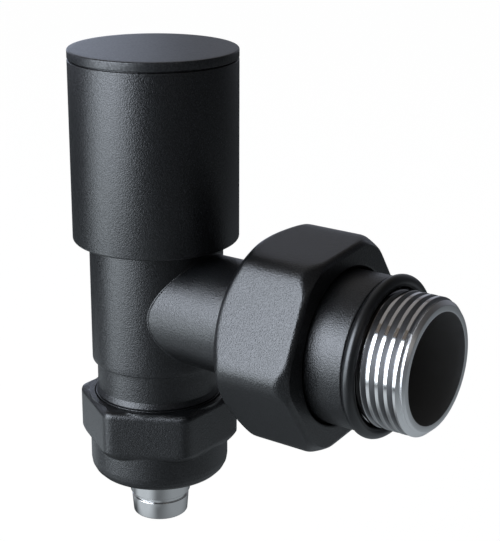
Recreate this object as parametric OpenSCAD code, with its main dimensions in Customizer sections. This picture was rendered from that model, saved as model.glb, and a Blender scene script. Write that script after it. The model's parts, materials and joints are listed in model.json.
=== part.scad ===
// Angle radiator valve with a manual handwheel, a union tail and a pipe compression end.
// Origin: on the handwheel's axis, in the underside of the compression nut, where the pipe goes in.
// +Z runs up the handwheel's axis, and +X along the side branch towards the radiator.
// Moving threads are plain running cylinders, and the tail's outside thread is a row of separate turns.

/* [Pipe connection] */
// Outside diameter of the pipe
pipe_d = 14.0; // [13.6:0.1:15]
// Wall of the pipe, which slides over the insert
pipe_wall = 1.9; // [1.6:0.1:2.2]
// Wall of the insert
insert_wall = 1.2; // [1.1:0.1:1.8]
// Length of the insert that stands out below the nut
insert_reach = 8.1; // [6:0.1:12]
// Length of the insert's tapered tip
tip_len = 3.1; // [2:0.1:4]
// Length of the groove above the tip
tip_groove = 0.8; // [0.4:0.1:1.2]
// Radius that the groove and the tip's end lose
tip_taper = 0.55; // [0.3:0.05:0.7]
// Thickness of the O-rings on the insert
insert_ring_d = 0.84; // [0.6:0.02:0.9]
// Thickness of the O-ring in the insert's cone
cone_ring_d = 1.2; // [0.8:0.1:1.4]
// Thickness of the insulating washer
insulator_t = 0.6; // [0.4:0.1:1]
// Height of the clamp ring
ring_h = 3.45; // [3:0.05:5]
// Wall of the clamp ring
ring_wall = 2.15; // [1.2:0.05:2.3]
// Split in the clamp ring
ring_split = 1.6; // [1:0.1:3]

/* [Compression nut] */
// Diameter of the body's thread inside the nut
spigot_d = 19.7; // [19.2:0.1:21]
// Wall between the nut's thread and its flats
cnut_wall = 1.9; // [1.6:0.1:3]
// Thickness of the nut's lip below the clamp ring
cnut_lip = 2.1; // [1.6:0.1:3]
// Step from the nut's flats to its round collar
collar_step = 0.2; // [0.1:0.1:0.8]
// Height of the nut's round collar
collar_h = 5.3; // [4.6:0.1:6.4]
// Rounding of the collar's lower edge
collar_round = 2.9; // [1:0.1:3.2]
// Turn of the nut's corners about its axis, degrees
cnut_turn = 28.7; // [0:0.1:60]
// Pitch of the compression thread
spigot_pitch = 1.5; // [1:0.25:2]
// Turns of engaged compression thread
spigot_turns = 4; // [3:0.5:6]

/* [Body] */
// Step from the compression thread to the neck
neck_step = 0.25; // [0.2:0.05:0.6]
// Step from the neck to the barrel
barrel_step = 0.8; // [0.4:0.1:2]
// Wall of the barrel round the chamber
barrel_wall = 2.3; // [1.8:0.1:2.6]
// Length of the neck between the compression nut and the barrel
neck_len = 6.0; // [3:0.1:12]
// Height of the branch's axis above the barrel's lower edge
branch_rise = 10.0; // [9.6:0.1:13]
// Diameter of the side branch
branch_d = 18.6; // [17:0.1:20]
// Wall of the side branch
branch_wall = 2.3; // [2:0.1:3.4]
// Diameter of the valve seat's opening
seat_bore_d = 11.0; // [9:0.1:12]
// Height of the raised seat above the chamber's floor
seat_rise = 0.8; // [0.4:0.1:1.2]
// Height of the barrel that the handwheel hides
hidden_barrel = 4.8; // [4:0.1:8]

/* [Handwheel] */
// Air between the barrel and the handwheel, on the radius
wheel_air = 1.4; // [1:0.1:3]
// Wall of the handwheel's shell
wheel_wall = 1.2; // [0.8:0.1:1.6]
// Whole height of the handwheel with its cover disc
wheel_h = 30.8; // [29:0.1:40]
// Gap between the branch and the handwheel's lower edge, valve closed
wheel_gap = 1.4; // [0.6:0.1:3]
// Thickness of the cover disc
cover_t = 1.4; // [1:0.1:1.8]
// Width of the groove below the cover disc
cover_groove = 0.25; // [0.15:0.05:0.5]
// Depth of the groove below the cover disc
groove_depth = 0.5; // [0.3:0.1:1]
// Width of the shell's top, round the opening that the cover snaps into
cover_ledge = 4.5; // [3:0.1:6]
// Thickness of the shell's top
shell_top_t = 2.75; // [2.2:0.05:3.4]
// Wall of the cover's snap-in skirt
skirt_wall = 1.4; // [0.8:0.1:2]
// Depth of the insert's rim
rim_depth = 9.0; // [6:0.1:11]
// Thickness of the insert's web
web_t = 2.0; // [1.2:0.1:3]
// Number of ribs in the handwheel's insert
rib_count = 8; // [4:1:12]
// Thickness of the insert's ribs and rim
rib_t = 1.2; // [0.8:0.1:2]
// Diameter of the handwheel's screw
wheel_screw_d = 3.0; // [2:0.1:3.2]

/* [Headwork] */
// Step from the chamber to the bonnet's thread
bonnet_step = 0.6; // [0.4:0.1:0.9]
// Step from the barrel's outside to the bonnet's flats
bonnet_flat_step = 0.9; // [0.7:0.1:1.6]
// Height of the bonnet's hexagon
bonnet_hex_h = 4.4; // [3.6:0.1:6]
// Height of the stuffing box above the hexagon
gland_h = 8.0; // [7:0.1:9]
// Wall of the stuffing box
box_wall = 1.5; // [1:0.1:2.5]
// Diameter of the spindle's thread
spindle_thread_d = 10.0; // [9:0.1:11.2]
// Diameter of the spindle's stem
stem_d = 6.0; // [5.2:0.1:6.8]
// Step from the stem to the flats of its square end
square_step = 0.9; // [0.9:0.05:1.2]
// Thread pitch of the spindle
spindle_pitch = 1.5; // [1:0.25:1.75]
// Turns from closed to open
spindle_turns = 2.5; // [1.5:0.5:2.5]
// Thickness of the O-rings round the stem
stem_ring_d = 1.7; // [1.5:0.1:1.9]
// Thickness of the gland washer
gland_washer_t = 0.8; // [0.5:0.1:1.2]
// Height of the gland nut's hexagon
gland_head_h = 1.4; // [1:0.1:2]
// Thickness of the bonnet's O-ring
nose_ring_d = 1.22; // [0.9:0.02:1.4]
// Width of seal between the seat's opening and the washer's edge
washer_overlap = 1.7; // [1.2:0.1:2.2]
// Thickness of the sealing washer
washer_t = 2.3; // [1.6:0.1:2.6]
// Step from the washer's edge to its holder
holder_step = 0.8; // [0.2:0.1:1.4]
// Height of the washer's holder
holder_h = 6.2; // [5.4:0.1:7]
// Diameter of the screw that holds the washer
washer_screw_d = 4.0; // [3:0.1:4.4]
// Diameter of the spindle's mushroom head
head_d = 6.0; // [5:0.1:7]

/* [Union] */
// Distance from the handwheel's axis to the union nut's near face
union_reach = 22.3; // [19.5:0.1:30]
// Diameter of the branch's thread inside the union nut
union_thread_d = 26.1; // [25:0.1:29]
// Wall between the union nut's thread and its flats
unut_wall = 2.2; // [1.8:0.1:3]
// Plain bore of the union nut before its thread
unut_entry = 2.36; // [1.6:0.02:6]
// Thickness of the union nut's lip
unut_lip = 3.3; // [2.4:0.1:4]
// Rounding of the union nut's corners
unut_round = 3.0; // [1:0.1:4]
// Turn of the union nut's corners from straight up, degrees
unut_turn = 25; // [0:1:59]
// Turns of engaged union thread
union_turns = 3; // [2:0.5:3]
// Pitch of the pipe threads, 14 turns an inch
pipe_pitch = 1.814; // [1.814]
// Thickness of the slip washer
slip_t = 0.8; // [0.5:0.1:1.2]

/* [Tail] */
// Thickness of the tail's flange
tail_flange_t = 2.55; // [2.2:0.05:4]
// Step from the branch's thread to the sleeve
sleeve_step = 1.15; // [1:0.05:1.6]
// Wall of the sleeve
sleeve_wall = 0.9; // [0.6:0.1:1.1]
// Length of sleeve that shows beyond the union nut
sleeve_show = 6.2; // [5.8:0.1:12]
// Thickness of the face seal ring
seal_d = 2.0; // [1.6:0.1:2.2]
// Thickness of the O-ring between tail and branch
tail_ring_d = 1.7; // [1.2:0.1:1.9]
// Crest diameter of the radiator thread, G 1/2
thread_d = 20.955; // [20.955]
// Turns of thread on the tail
thread_turns = 4; // [3:1:8]
// Flat crest of one turn of thread
crest_w = 0.45; // [0.3:0.05:0.6]
// Wall of the tail under the thread's root
tail_wall = 0.82; // [0.7:0.01:1.6]
// Depth of the tail's wide bore
tail_bore_depth = 11.8; // [8:0.1:13]
// Depth of the key hexagon behind the wide bore
key_depth = 5.0; // [3:0.1:6]
// Key hexagon inside the tail, across its flats
key_af = 12.0; // [10:0.1:13]

/* [Clearances and edges] */
// Running gap between pieces that move on each other, on the radius
run_gap = 0.05; // [0.03:0.01:0.08]
// Gap between fixed pieces that seat in each other, on the radius
seat_gap = 0.04; // [0.02:0.01:0.06]
// Gap between faces that meet end to end
face_gap = 0.05; // [0.03:0.01:0.08]
// Slack where one piece passes through another without touching
pass_gap = 0.35; // [0.25:0.05:0.5]
// Chamfer of turned edges
edge = 0.35; // [0.2:0.05:0.4]
// Chamfer of fine edges
fine_edge = 0.2; // [0.1:0.05:0.3]

/* [Hidden] */
$fn = 72;
cut = 1; // how far a cutting shape runs past the face that it cuts

// Colours
coat = "#2a2c2f";
disc_coat = "#3a3c3f";
chrome = "#c9ccd0";
brass = "#c8a452";
zinc = "#b8bbbe";
rubber = "#18191a";
plastic = "#e4e2da";

// Compression end, upwards from the nut's underside
ring_clear = 0.5;
ring_z = cnut_lip + ring_clear;
ring_top = ring_z + ring_h;
washer_clear = 0.25;
insulator_z = ring_top + washer_clear;
flange_z = insulator_z + insulator_t;
flange_t = 1.5;
spigot_end = flange_z + flange_t;
cnut_h = spigot_end + spigot_turns * spigot_pitch;
insert_d = pipe_d - 2 * pipe_wall;
insert_bore_d = insert_d - 2 * insert_wall;
insulator_seat_d = insert_d - 0.4;
spigot_wall = 1.55;
flange_d = spigot_d - 2 * spigot_wall;
nut_bore_d = spigot_d + 2 * run_gap;
cnut_af = spigot_d + 2 * cnut_wall;
collar_d = cnut_af - 2 * collar_step;
ring_bore_d = pipe_d + 2 * face_gap;
ring_d = ring_bore_d + 2 * ring_wall;
mouth_d = pipe_d + 0.5;
insert_ring_levels = [ring_z - 1.4, ring_z + 1.3];

// Cone that seals the insert in the body
cone_h = 4.6;
cone_end_r = seat_bore_d / 2 + 1;
cone_slope = (flange_d / 2 - cone_end_r) / cone_h;
insert_cone_h = cone_h - 0.4;
cone_ring_h = cone_h / 2;
cone_ring_r = flange_d / 2 - cone_slope * cone_ring_h - cone_ring_d / 2 - seat_gap;

// Body, upwards from the neck
neck_d = spigot_d + 2 * neck_step;
body_d = neck_d + 2 * barrel_step;
chamber_d = body_d - 2 * barrel_wall;
branch_bore_d = branch_d - 2 * branch_wall;
neck_lip = 0.5;
neck_lip_h = 0.3;
neck_lip_sink = 0.5;
neck_z = cnut_h - neck_lip_sink;
neck_top = cnut_h + neck_len;
branch_z = neck_top + branch_rise;
wheel_z = branch_z + branch_d / 2 + wheel_gap;
body_top = wheel_z + hidden_barrel;
seat_z = branch_z - branch_bore_d / 2 - 0.5;
chamber_top = branch_z + branch_bore_d / 2 + 1.7;
seat_land = 0.9;

// Headwork, upwards from the seat
lift = spindle_pitch * spindle_turns;
washer_d = seat_bore_d + 2 * washer_overlap;
washer_z = seat_z + face_gap;
holder_d = washer_d - 2 * holder_step;
holder_z = washer_z + washer_t + face_gap;
holder_top = holder_z + holder_h;
washer_screw_bury = 2.2;
washer_screw_head = [6.4, 1.4];
head_slot_z = holder_z + washer_screw_bury + 0.9;
head_slot_h = 1.6;
head_play = 0.1;
head_neck_d = head_d - 2.2;
bonnet_thread_d = chamber_d + 2 * bonnet_step;
bonnet_af = body_d - 2 * bonnet_flat_step;
nose_groove_z = chamber_top - nose_ring_d - 2 * seat_gap - 0.1;
nose_z = nose_groove_z - 0.9;
bonnet_flange_z = body_top + face_gap;
bonnet_hex_top = bonnet_flange_z + bonnet_hex_h;
spindle_thread_z = holder_top + 1.4;
stop_z = bonnet_hex_top - 2.4;
spindle_thread_top = stop_z - lift - 2 * face_gap;
box_d = stem_d + 2 * (stem_ring_d + run_gap + seat_gap);
box_z = bonnet_hex_top + 1.1;
box_top = bonnet_hex_top + gland_h;
stem_ring_z = box_z + gland_washer_t + stem_ring_d / 2 + face_gap;
stem_ring_step = stem_ring_d + face_gap;
gland_plug_z = stem_ring_z + stem_ring_step + stem_ring_d / 2 + face_gap;
gland_nut_af = box_d + 1.4;
gland_top = box_top + face_gap + gland_head_h;

// Handwheel, downwards from its top
wheel_d = body_d + 2 * (wheel_air + wheel_wall);
wheel_inner_d = wheel_d - 2 * wheel_wall;
wheel_top = wheel_z + wheel_h;
disc_z = wheel_top - cover_t;
shell_top = disc_z - cover_groove;
web_top = shell_top - shell_top_t;
cover_seat_d = wheel_d - 2 * cover_ledge;
square_af = stem_d - 2 * square_step;
hub_z = gland_top + pass_gap;
hub_top = web_top - face_gap;
hub_d = stem_d + 4.4;
square_top = hub_top - 1.6;
screw_bury = 6.0;
screw_head = [6.2, 1.9];
screw_slot = [3.6, 0.7, 1.0];

// Union, along the branch from the handwheel's axis
unut_bore_d = union_thread_d + 2 * run_gap;
unut_af = union_thread_d + 2 * unut_wall;
union_thread_x = union_reach + unut_entry;
branch_end = union_thread_x + union_turns * pipe_pitch;
tail_flange_x = branch_end + face_gap;
sleeve_x = tail_flange_x + tail_flange_t;
slip_x = sleeve_x + face_gap;
lip_x = slip_x + slip_t + face_gap;
unut_end = lip_x + unut_lip;
tail_flange_d = union_thread_d - 0.3;
sleeve_d = union_thread_d - 2 * sleeve_step;
sleeve_end = unut_end + sleeve_show;
tail_core_d = sleeve_d - 2 * sleeve_wall - 2 * seat_gap;
tail_ring_r = (branch_bore_d + tail_flange_d) / 4;

// Seal ring and thread, on from the sleeve's end
thread_depth = 0.640327 * pipe_pitch;
root_d = thread_d - 2 * thread_depth;
tail_bore_d = root_d - 2 * tail_wall;
seal_seat_d = thread_d - 0.4;
seal_x = sleeve_end + face_gap;
seal_ring_r = thread_d / 2 + face_gap + seal_d / 2;
thread_x = seal_x + seal_d + face_gap;
flank_w = thread_depth * tan(27.5);
first_crest_x = thread_x + 0.4;
last_crest_x = first_crest_x + (thread_turns - 1) * pipe_pitch;
end_land = 0.15;
tail_end = last_crest_x + crest_w / 2 + thread_depth - end_land;

// Turns a shape drawn along +Z onto the branch, so that its height runs along +X
module on_branch() {
    translate([0, 0, branch_z]) rotate([0, 90, 0]) children();
}

// Solid of revolution from points [radius, height]
module turned(points) {
    rotate_extrude() polygon(points);
}

// Plain ring of height h between two diameters
module ring(outer, inner, z, h) {
    translate([0, 0, z]) difference() {
        cylinder(d = outer, h = h);
        translate([0, 0, -cut]) cylinder(d = inner, h = h + 2 * cut);
    }
}

// O-ring by the radius of its middle line
module o_ring(mid_r, thick, z) {
    translate([0, 0, z]) rotate_extrude() translate([mid_r, 0]) circle(d = thick, $fn = 32);
}

// Hexagon with round corners, across its flats
module round_hex(af, corner_r) {
    reach = (af / 2 - corner_r) / cos(30);
    polygon([for (k = [0:5]) for (side = [-30, 30])
        [reach * cos(60 * k) + corner_r * cos(60 * k + side),
         reach * sin(60 * k) + corner_r * sin(60 * k + side)]]);
    for (k = [0:5]) rotate(60 * k) translate([reach, 0]) circle(r = corner_r);
}

// Sharp hexagonal prism, across its flats
module hex_prism(af, h) {
    cylinder(d = af / cos(30), h = h, $fn = 6);
}

// Body: barrel, neck, thread spigot and side branch as one forging
module valve_body() {
    color(coat) difference() {
        union() {
            body_outside();
            on_branch() branch_outside();
        }
        body_inlet();
        body_chamber();
        on_branch() cylinder(d = branch_bore_d, h = branch_end + cut);
    }
}

module body_outside() {
    spigot_r = spigot_d / 2;
    neck_r = neck_d / 2;
    barrel_r = body_d / 2;
    turned([[0, spigot_end], [spigot_r - edge, spigot_end], [spigot_r, spigot_end + edge],
            [spigot_r, neck_z], [neck_r + neck_lip, neck_z], [neck_r + neck_lip, neck_z + neck_lip_h],
            [neck_r, neck_z + neck_lip_h + 0.6], [neck_r, neck_top], [barrel_r - edge, neck_top],
            [barrel_r, neck_top + edge], [barrel_r, body_top - edge], [barrel_r - edge, body_top],
            [0, body_top]]);
}

// Branch, its flare behind the union nut and the thread inside the nut
module branch_outside() {
    branch_r = branch_d / 2;
    thread_r = union_thread_d / 2;
    relief = 0.5;
    turned([[0, 0], [branch_r, 0], [branch_r, union_reach - 0.4],
            [branch_r + 1.6, union_reach + 0.6], [thread_r - relief, union_reach + 1.2],
            [thread_r - relief, union_thread_x - 0.2], [thread_r, union_thread_x],
            [thread_r, branch_end - edge], [thread_r - edge, branch_end], [0, branch_end]]);
}

// Cone that the insert seals in, and the way up through the seat
module body_inlet() {
    mouth_r = flange_d / 2 + seat_gap;
    turned([[0, spigot_end - cut], [mouth_r, spigot_end - cut], [mouth_r, spigot_end],
            [cone_end_r, spigot_end + cone_h], [seat_bore_d / 2, spigot_end + cone_h],
            [seat_bore_d / 2, seat_z + cut], [0, seat_z + cut]]);
}

// Chamber round the raised seat, and the bonnet's thread above it
module body_chamber() {
    thread_r = bonnet_thread_d / 2 + seat_gap;
    land_r = seat_bore_d / 2 + seat_land;
    turned([[land_r, seat_z - seat_rise], [chamber_d / 2, seat_z - seat_rise], [chamber_d / 2, chamber_top],
            [thread_r, chamber_top], [thread_r, body_top + cut], [0, body_top + cut],
            [0, seat_z], [land_r, seat_z]]);
}

// Bonnet: nose, body thread, hexagon and stuffing box
module bonnet() {
    color(brass) difference() {
        union() {
            bonnet_plug();
            bonnet_hexagon();
            turned([[0, bonnet_flange_z], [box_d / 2 + box_wall, bonnet_flange_z],
                    [box_d / 2 + box_wall, box_top - edge], [box_d / 2 + box_wall - edge, box_top],
                    [0, box_top]]);
        }
        translate([0, 0, nose_z - cut])
            cylinder(d = spindle_thread_d + 2 * run_gap, h = stop_z - nose_z + cut);
        cylinder(d = stem_d + 2 * run_gap, h = box_top + cut);
        translate([0, 0, box_z]) cylinder(d = box_d, h = box_top - box_z + cut);
    }
}

// Nose with its O-ring groove, and the thread that screws into the body
module bonnet_plug() {
    nose_r = chamber_d / 2 - seat_gap;
    floor_r = nose_r - nose_ring_d - seat_gap;
    groove_top = nose_groove_z + nose_ring_d + 2 * seat_gap;
    thread_r = bonnet_thread_d / 2;
    turned([[0, nose_z], [nose_r - edge, nose_z], [nose_r, nose_z + edge], [nose_r, nose_groove_z],
            [floor_r, nose_groove_z], [floor_r, groove_top], [nose_r, groove_top],
            [nose_r, chamber_top + face_gap], [thread_r, chamber_top + face_gap + edge],
            [thread_r, bonnet_flange_z], [0, bonnet_flange_z]]);
}

// Hexagon with chamfered corners at both ends
module bonnet_hexagon() {
    flat_r = bonnet_af / 2;
    corner_r = flat_r / cos(30);
    corner_cut = 0.8;
    intersection() {
        translate([0, 0, bonnet_flange_z]) hex_prism(bonnet_af, bonnet_hex_h);
        turned([[0, bonnet_flange_z], [flat_r, bonnet_flange_z], [corner_r, bonnet_flange_z + corner_cut],
                [corner_r, bonnet_hex_top - corner_cut], [flat_r, bonnet_hex_top], [0, bonnet_hex_top]]);
    }
}

module bonnet_o_ring() {
    color(rubber) o_ring(chamber_d / 2 - 2 * seat_gap - nose_ring_d / 2, nose_ring_d,
                         nose_groove_z + seat_gap + nose_ring_d / 2);
}

module gland_washer() {
    color(plastic) ring(box_d - 2 * seat_gap, stem_d + 2 * run_gap, box_z, gland_washer_t);
}

// Two O-rings that fill the stuffing box round the stem
module stem_o_rings() {
    mid_r = stem_d / 2 + run_gap + stem_ring_d / 2;
    for (k = [0, 1]) color(rubber) o_ring(mid_r, stem_ring_d, stem_ring_z + k * stem_ring_step);
}

// Gland nut: threaded plug that closes the stuffing box, with a low hexagon
module gland_nut() {
    color(brass) difference() {
        union() {
            translate([0, 0, gland_plug_z])
                cylinder(d = box_d - 2 * seat_gap, h = box_top + face_gap - gland_plug_z);
            translate([0, 0, box_top + face_gap]) hex_prism(gland_nut_af, gland_head_h);
        }
        cylinder(d = stem_d + 2 * run_gap, h = gland_top + cut);
    }
}

// Spindle: mushroom head, thread, stem and square end, tapped for the handwheel's screw
module spindle() {
    head_z = head_slot_z + head_play;
    head_top = head_slot_z + head_slot_h - head_play;
    thread_r = spindle_thread_d / 2;
    color(brass) difference() {
        union() {
            turned([[0, head_z], [head_d / 2 - fine_edge, head_z], [head_d / 2, head_z + fine_edge],
                    [head_d / 2, head_top], [head_neck_d / 2, head_top],
                    [head_neck_d / 2, spindle_thread_z], [thread_r - edge, spindle_thread_z],
                    [thread_r, spindle_thread_z + edge], [thread_r, spindle_thread_top - edge],
                    [thread_r - edge, spindle_thread_top], [stem_d / 2, spindle_thread_top],
                    [stem_d / 2, hub_z], [0, hub_z]]);
            translate([-square_af / 2, -square_af / 2, hub_z])
                cube([square_af, square_af, square_top - hub_z]);
        }
        translate([0, 0, hub_top - screw_bury - edge]) cylinder(d = wheel_screw_d, h = screw_bury + cut);
    }
}

// Holder: cup on the washer, with a T-shaped slot that hooks on the spindle's head
module disc_holder() {
    holder_r = holder_d / 2;
    color(brass) difference() {
        turned([[0, holder_z], [holder_r - edge, holder_z], [holder_r, holder_z + edge],
                [holder_r, holder_top - edge], [holder_r - edge, holder_top], [0, holder_top]]);
        side_slot(head_d + 2 * head_play, head_slot_h);
        side_slot(head_neck_d + 2 * head_play, holder_h);
        translate([0, 0, holder_z - cut]) cylinder(d = washer_screw_d, h = washer_screw_bury + edge + cut);
    }
}

// Slot for a round head, open to one side
module side_slot(w, h) {
    translate([0, 0, head_slot_z]) {
        cylinder(d = w, h = h);
        translate([-holder_d, -w / 2, 0]) cube([holder_d, w, h]);
    }
}

module seat_washer() {
    color(rubber) ring(washer_d, washer_screw_d, washer_z, washer_t);
}

// Screw that holds the washer, with a flat head inside the seat's opening
module washer_screw() {
    shank_r = washer_screw_d / 2 - seat_gap;
    head_r = washer_screw_head[0] / 2;
    head_z = washer_z - washer_screw_head[1];
    shank_top = holder_z + washer_screw_bury;
    color(brass) turned([[0, head_z], [head_r, head_z], [head_r, washer_z], [shank_r, washer_z],
                         [shank_r, shank_top], [0, shank_top]]);
}

// Handwheel shell: tall round cap, open below, with the cover's opening on top
module handwheel() {
    wheel_r = wheel_d / 2;
    inner_r = wheel_inner_d / 2;
    color(coat) turned([[inner_r, wheel_z], [wheel_r - fine_edge, wheel_z], [wheel_r, wheel_z + fine_edge],
                        [wheel_r, shell_top], [cover_seat_d / 2, shell_top], [cover_seat_d / 2, web_top],
                        [inner_r, web_top]]);
}

// Cover disc with its snap-in skirt
module cover_disc() {
    wheel_r = wheel_d / 2;
    skirt_r = cover_seat_d / 2 - seat_gap;
    skirt_z = web_top + pass_gap;
    color(disc_coat) turned([[0, disc_z], [skirt_r - skirt_wall, disc_z], [skirt_r - skirt_wall, skirt_z],
                             [skirt_r, skirt_z], [skirt_r, shell_top], [wheel_r - groove_depth, shell_top],
                             [wheel_r - groove_depth, disc_z], [wheel_r, disc_z],
                             [wheel_r, wheel_top - fine_edge], [wheel_r - fine_edge, wheel_top],
                             [0, wheel_top]]);
}

// Insert pressed into the shell: hub with the square socket, web, rim and ribs
module handwheel_insert() {
    rim_r = wheel_inner_d / 2 - seat_gap;
    rim_z = hub_top - rim_depth;
    web_z = hub_top - web_t;
    rib_sink = 0.3;
    rib_from = hub_d / 2 - rib_sink;
    rib_len = rim_r - rib_t / 2 - rib_from;
    socket = square_af + 2 * seat_gap;
    color(plastic) difference() {
        union() {
            turned([[0, hub_z], [hub_d / 2, hub_z], [hub_d / 2, web_z], [rim_r - rib_t, web_z],
                    [rim_r - rib_t, rim_z], [rim_r, rim_z], [rim_r, hub_top], [0, hub_top]]);
            for (k = [0:rib_count - 1]) rotate(360 / rib_count * k)
                translate([rib_from, -rib_t / 2, hub_z]) cube([rib_len, rib_t, web_z + rib_sink - hub_z]);
        }
        translate([-socket / 2, -socket / 2, hub_z - cut])
            cube([socket, socket, square_top + face_gap - hub_z + cut]);
        translate([0, 0, hub_z]) cylinder(d = wheel_screw_d + 2 * pass_gap, h = hub_top - hub_z + cut);
    }
}

// Pan-head screw with a cross slot
module handwheel_screw() {
    shank_r = wheel_screw_d / 2 - seat_gap;
    head_r = screw_head[0] / 2;
    head_z = hub_top + face_gap;
    head_top = head_z + screw_head[1];
    color(zinc) difference() {
        turned([[0, head_z - screw_bury], [shank_r, head_z - screw_bury], [shank_r, head_z],
                [head_r, head_z], [head_r, head_top - 2 * edge], [head_r - 2 * edge, head_top],
                [0, head_top]]);
        for (a = [0, 90]) rotate(a)
            translate([-screw_slot[0] / 2, -screw_slot[1] / 2, head_top - screw_slot[2]])
                cube([screw_slot[0], screw_slot[1], screw_slot[2] + cut]);
    }
}

// Insert: tapered tip, groove, straight tube with two ring grooves, flange and sealing cone
module pipe_insert() {
    tube_r = insert_d / 2;
    bore_r = insert_bore_d / 2;
    foot_z = -insert_reach;
    tip_z = foot_z + tip_len;
    tube_z = tip_z + tip_groove;
    cone_end_z = spigot_end + insert_cone_h;
    cone_r = flange_d / 2;
    color(chrome) difference() {
        turned([[bore_r, foot_z], [tube_r - tip_taper - fine_edge, foot_z],
                [tube_r - tip_taper, foot_z + fine_edge], [tube_r - tip_taper / 2, tip_z],
                [tube_r - tip_taper, tip_z], [tube_r - tip_taper, tube_z], [tube_r, tube_z],
                [tube_r, insulator_z], [insulator_seat_d / 2, insulator_z],
                [insulator_seat_d / 2, flange_z], [cone_r, flange_z], [cone_r, spigot_end],
                [cone_r - cone_slope * insert_cone_h, cone_end_z], [bore_r, cone_end_z]]);
        for (z = insert_ring_levels) ring_groove(insert_d + cut, tube_r - seat_gap, insert_ring_d, z);
        ring_groove(flange_d + cut, cone_ring_r + cone_ring_d / 2, cone_ring_d, spigot_end + cone_ring_h);
    }
}

// Groove for an O-ring of the given thickness, whose outside reaches ring_r, round the middle height z
module ring_groove(outer, ring_r, thick, z) {
    ring(outer, 2 * (ring_r - thick - seat_gap), z - thick / 2 - seat_gap, thick + 2 * seat_gap);
}

module insert_o_rings() {
    for (z = insert_ring_levels)
        color(rubber) o_ring(insert_d / 2 - seat_gap - insert_ring_d / 2, insert_ring_d, z);
}

module cone_o_ring() {
    color(rubber) o_ring(cone_ring_r, cone_ring_d, spigot_end + cone_ring_h);
}

module insulating_washer() {
    color(plastic) ring(pipe_d, insulator_seat_d + 2 * seat_gap, insulator_z + seat_gap,
                        insulator_t - 2 * seat_gap);
}

// Split ring that the nut's cone squeezes onto the pipe
module clamp_ring() {
    inner_r = ring_bore_d / 2;
    outer_r = ring_d / 2;
    nose_wall = 0.5;
    color(brass) difference() {
        turned([[inner_r, ring_z], [inner_r + nose_wall, ring_z],
                [outer_r, ring_z + ring_wall - nose_wall], [outer_r, ring_top - 2 * edge],
                [outer_r - edge, ring_top], [inner_r, ring_top]]);
        translate([0, -ring_split / 2, 0]) cube([ring_d, ring_split, ring_top + cut]);
    }
}

// Compression nut: hexagon with turned ends on a round collar, bored for the spigot and the ring
module compression_nut() {
    color(coat) difference() {
        union() {
            cnut_hexagon();
            cnut_collar();
        }
        cnut_bore();
    }
}

module cnut_hexagon() {
    flat_r = cnut_af / 2;
    corner_r = flat_r + 1.25;
    corner_round = 2.0;
    lower_cut = 1.8;
    upper_cut = 1.0;
    intersection() {
        translate([0, 0, collar_h]) rotate(cnut_turn)
            linear_extrude(cnut_h - collar_h) round_hex(cnut_af, corner_round);
        turned([[0, collar_h], [collar_d / 2, collar_h], [corner_r, collar_h + lower_cut],
                [corner_r, cnut_h - upper_cut], [flat_r + fine_edge, cnut_h - fine_edge],
                [flat_r - fine_edge, cnut_h], [0, cnut_h]]);
    }
}

// Round collar with a soft lower edge
module cnut_collar() {
    collar_r = collar_d / 2;
    top = collar_h + 0.5;
    rotate_extrude() {
        square([collar_r - collar_round, top]);
        translate([0, collar_round]) square([collar_r, top - collar_round]);
        translate([collar_r - collar_round, collar_round]) circle(r = collar_round);
    }
}

// Mouth for the pipe, cone for the clamp ring, thread, and the recess round the neck's lip
module cnut_bore() {
    mouth_r = mouth_d / 2;
    ring_r = ring_d / 2 + run_gap;
    cone_z = cnut_lip + ring_r - mouth_r;
    bore_r = nut_bore_d / 2;
    recess_r = neck_d / 2 + neck_lip + 3 * run_gap;
    recess_z = neck_z - neck_lip_h;
    turned([[0, -cut], [mouth_r, -cut], [mouth_r, cnut_lip], [ring_r, cone_z], [ring_r, ring_top],
            [bore_r, ring_top + edge], [bore_r, recess_z], [recess_r, recess_z],
            [recess_r, cnut_h + cut], [0, cnut_h + cut]]);
}

module union_slip_washer() {
    color(plastic) on_branch() ring(unut_bore_d - 2 * run_gap, sleeve_d + 2 * run_gap, slip_x, slip_t);
}

// Union nut: large hexagon with soft ends, bored for the branch's thread, with a lip behind the slip washer
module union_nut() {
    color(coat) on_branch() difference() {
        intersection() {
            translate([0, 0, union_reach]) rotate(180 - unut_turn)
                linear_extrude(unut_end - union_reach) round_hex(unut_af, unut_round);
            unut_blank();
        }
        translate([0, 0, union_reach - cut]) cylinder(d = unut_bore_d, h = lip_x - union_reach + cut);
        cylinder(d = sleeve_d + 2 * pass_gap, h = unut_end + cut);
    }
}

// Turned blank that softens both ends of the union nut, the far end less than the near one
module unut_blank() {
    flat_r = unut_af / 2;
    near_steps = [[flat_r - 1.0, 0], [flat_r - 0.1, 0.35], [flat_r + 0.8, 1.2], [flat_r + 1.85, 3.2]];
    far_steps = [[flat_r + 1.85, 2.4], [flat_r + 1.2, 1.1], [flat_r + 0.2, 0.3], [flat_r - 0.5, 0]];
    turned(concat([[0, union_reach]],
                  [for (s = near_steps) [s[0], union_reach + s[1]]],
                  [for (s = far_steps) [s[0], unut_end - s[1]]],
                  [[0, unut_end]]));
}

module union_o_ring() {
    color(rubber) on_branch()
        o_ring(tail_ring_r, tail_ring_d - 2 * seat_gap, tail_flange_x + tail_ring_d / 2);
}

// Tail: flange, core under the sleeve, seat for the seal, thread and bore
module tailpiece() {
    color(chrome) on_branch() difference() {
        union() {
            tail_core();
            for (k = [0:thread_turns - 2]) thread_turn(first_crest_x + k * pipe_pitch);
            thread_end();
        }
        tail_bore();
    }
}

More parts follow.
